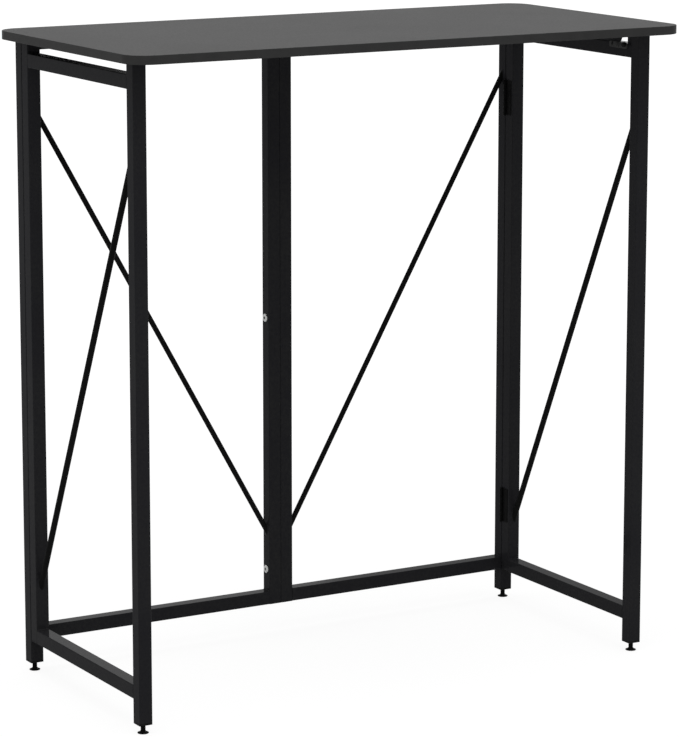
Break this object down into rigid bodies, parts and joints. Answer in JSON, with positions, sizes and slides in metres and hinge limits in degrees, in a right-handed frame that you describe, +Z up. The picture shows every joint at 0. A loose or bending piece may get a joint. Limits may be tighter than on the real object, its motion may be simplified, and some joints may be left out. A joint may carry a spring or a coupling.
{
  "type": "folding standing desk",
  "caption": "Tall desk with a round-cornered board on a black tube frame: the side frames fold in on hinges and the board tips up along its rear edge.",
  "frame": {"origin": "on the floor under the middle of the board", "axes": "+X to the right, +Y to the rear, +Z up, seen from the open front"},
  "size_m": [1, 0.5, 1.0613],
  "materials": {
    "frame": "black powder coat with a fine texture",
    "zinc": "bright zinc plate",
    "board": "plain dark grey laminate on board",
    "band": "matt edge band",
    "plastic": "black moulded plastic"
  },
  "bodies": {
    "back_frame": {"left_back_post": "frame", "left_centre_post": "frame", "left_back_lower_rail": "frame", "left_back_upper_rail": "frame", "left_back_brace": "frame", "left_upper_hinge_post_leaf": "frame", "left_lower_hinge_post_leaf": "frame", "left_hinge_pins": "frame", "left_top_hinge_rail_leaf": "frame", "right_back_post": "frame", "right_centre_post": "frame", "right_back_lower_rail": "frame", "right_back_upper_rail": "frame", "right_back_brace": "frame", "right_upper_hinge_post_leaf": "frame", "right_lower_hinge_post_leaf": "frame", "right_hinge_pins": "frame", "right_top_hinge_rail_leaf": "frame", "centre_bolts": "zinc", "centre_rivet_nuts": "zinc", "back_caps": "plastic", "back_leg_inserts": "plastic", "top_hinge_pins": "frame"},
    "left_side_frame": {"left_front_leg": "frame", "left_rear_upright": "frame", "left_side_lower_rail": "frame", "left_side_upper_rail": "frame", "left_side_brace": "frame", "left_side_caps": "plastic", "left_front_leg_insert": "plastic", "left_upper_hinge_frame_leaf": "frame", "left_lower_hinge_frame_leaf": "frame"},
    "right_side_frame": {"right_front_leg": "frame", "right_rear_upright": "frame", "right_side_lower_rail": "frame", "right_side_upper_rail": "frame", "right_side_brace": "frame", "right_side_caps": "plastic", "right_front_leg_insert": "plastic", "right_upper_hinge_frame_leaf": "frame", "right_lower_hinge_frame_leaf": "frame", "latch_screw": "frame"},
    "top": {"desktop_board": "board", "edge_band": "band", "top_hinge_screws": "zinc", "keeper_screws": "zinc", "latch_keeper": "frame", "left_top_hinge_board_leaf": "frame", "right_top_hinge_board_leaf": "frame"},
    "latch": {"latch_hook": "frame", "latch_knob": "plastic"},
    "left_front_foot": {"left_front_foot": "plastic"},
    "left_back_foot": {"left_back_foot": "plastic"},
    "right_front_foot": {"right_front_foot": "plastic"},
    "right_back_foot": {"right_back_foot": "plastic"}
  },
  "joints": [
    {"name": "left_side_fold", "type": "hinge", "parent": "back_frame", "child": "left_side_frame", "pos_m": [-0.4468, 0.2054, 0.53], "axis": [0, 0, 1], "range_deg": [0, 90]},
    {"name": "right_side_fold", "type": "hinge", "parent": "back_frame", "child": "right_side_frame", "pos_m": [0.4468, 0.2054, 0.53], "axis": [0, 0, -1], "range_deg": [0, 90]},
    {"name": "top_tilt", "type": "hinge", "parent": "back_frame", "child": "top", "pos_m": [0, 0.2339, 1.0442], "axis": [-1, 0, 0], "range_deg": [0, 95]},
    {"name": "latch_turn", "type": "hinge", "parent": "right_side_frame", "child": "latch", "pos_m": [0.4483, -0.133, 1.0224], "axis": [1, 0, 0], "range_deg": [0, 90]},
    {"name": "left_front_foot_level", "type": "slide", "parent": "left_side_frame", "child": "left_front_foot", "axis": [0, 0, 1], "range_m": [-0.006, 0.008]},
    {"name": "left_back_foot_level", "type": "slide", "parent": "back_frame", "child": "left_back_foot", "axis": [0, 0, 1], "range_m": [-0.006, 0.008]},
    {"name": "right_front_foot_level", "type": "slide", "parent": "right_side_frame", "child": "right_front_foot", "axis": [0, 0, 1], "range_m": [-0.006, 0.008]},
    {"name": "right_back_foot_level", "type": "slide", "parent": "back_frame", "child": "right_back_foot", "axis": [0, 0, 1], "range_m": [-0.006, 0.008]}
  ]
}
